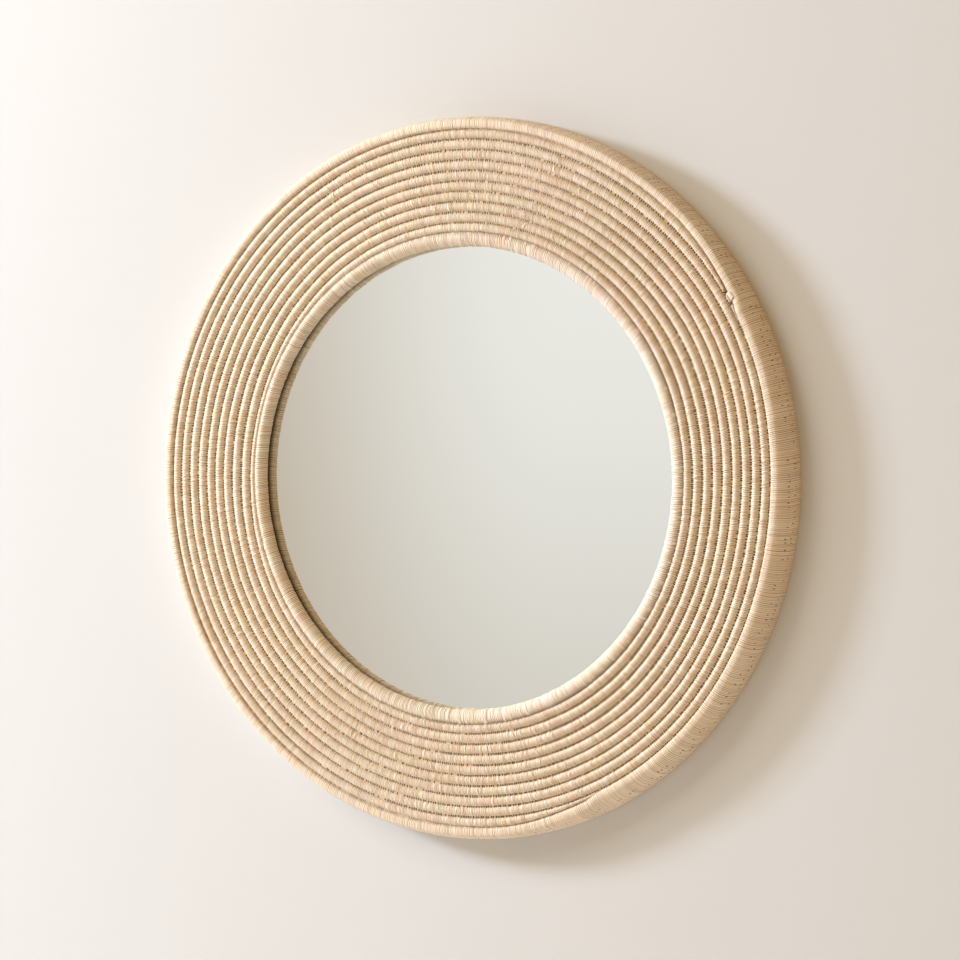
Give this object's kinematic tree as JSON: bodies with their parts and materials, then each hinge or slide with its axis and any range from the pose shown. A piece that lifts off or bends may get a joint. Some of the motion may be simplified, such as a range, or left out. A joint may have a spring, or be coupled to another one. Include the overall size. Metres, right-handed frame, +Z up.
{
  "type": "wall mirror",
  "caption": "Round wall mirror in a wide, flat frame of concentric raffia-wrapped coils, with a thick wrapped ring at the glass and a wrapped, stitched rim down to the wall.",
  "frame": {"origin": "centre of the back, on the wall plane", "axes": "+Z up, +Y into the wall, the mirror faces -Y"},
  "size_m": [0.762, 0.0315, 0.762],
  "materials": {
    "raffia_rows": "natural raffia strands wrapped close around coils, cream to tan",
    "raffia_binding": "natural raffia strands wrapped close around a thicker ring",
    "raffia_rim": "natural raffia laid over the shoulder, with rows of small stitches",
    "silvered_glass": "plain silvered float glass",
    "fibreboard": "plain medium-density fibreboard",
    "zinc_plate": "bright zinc-plated steel",
    "zinc_screw": "bright zinc-plated steel"
  },
  "bodies": {
    "root": {"coiled_face": "raffia_rows", "outer_part_row": "raffia_rows", "inner_binding": "raffia_binding", "rim_band": "raffia_rim", "mirror_glass": "silvered_glass", "back_board": "fibreboard", "hanger_plate_left": "zinc_plate", "hanger_plate_right": "zinc_plate", "hanger_screw_left_upper": "zinc_screw", "hanger_screw_left_lower": "zinc_screw", "hanger_screw_right_upper": "zinc_screw", "hanger_screw_right_lower": "zinc_screw"}
  },
  "joints": []
}
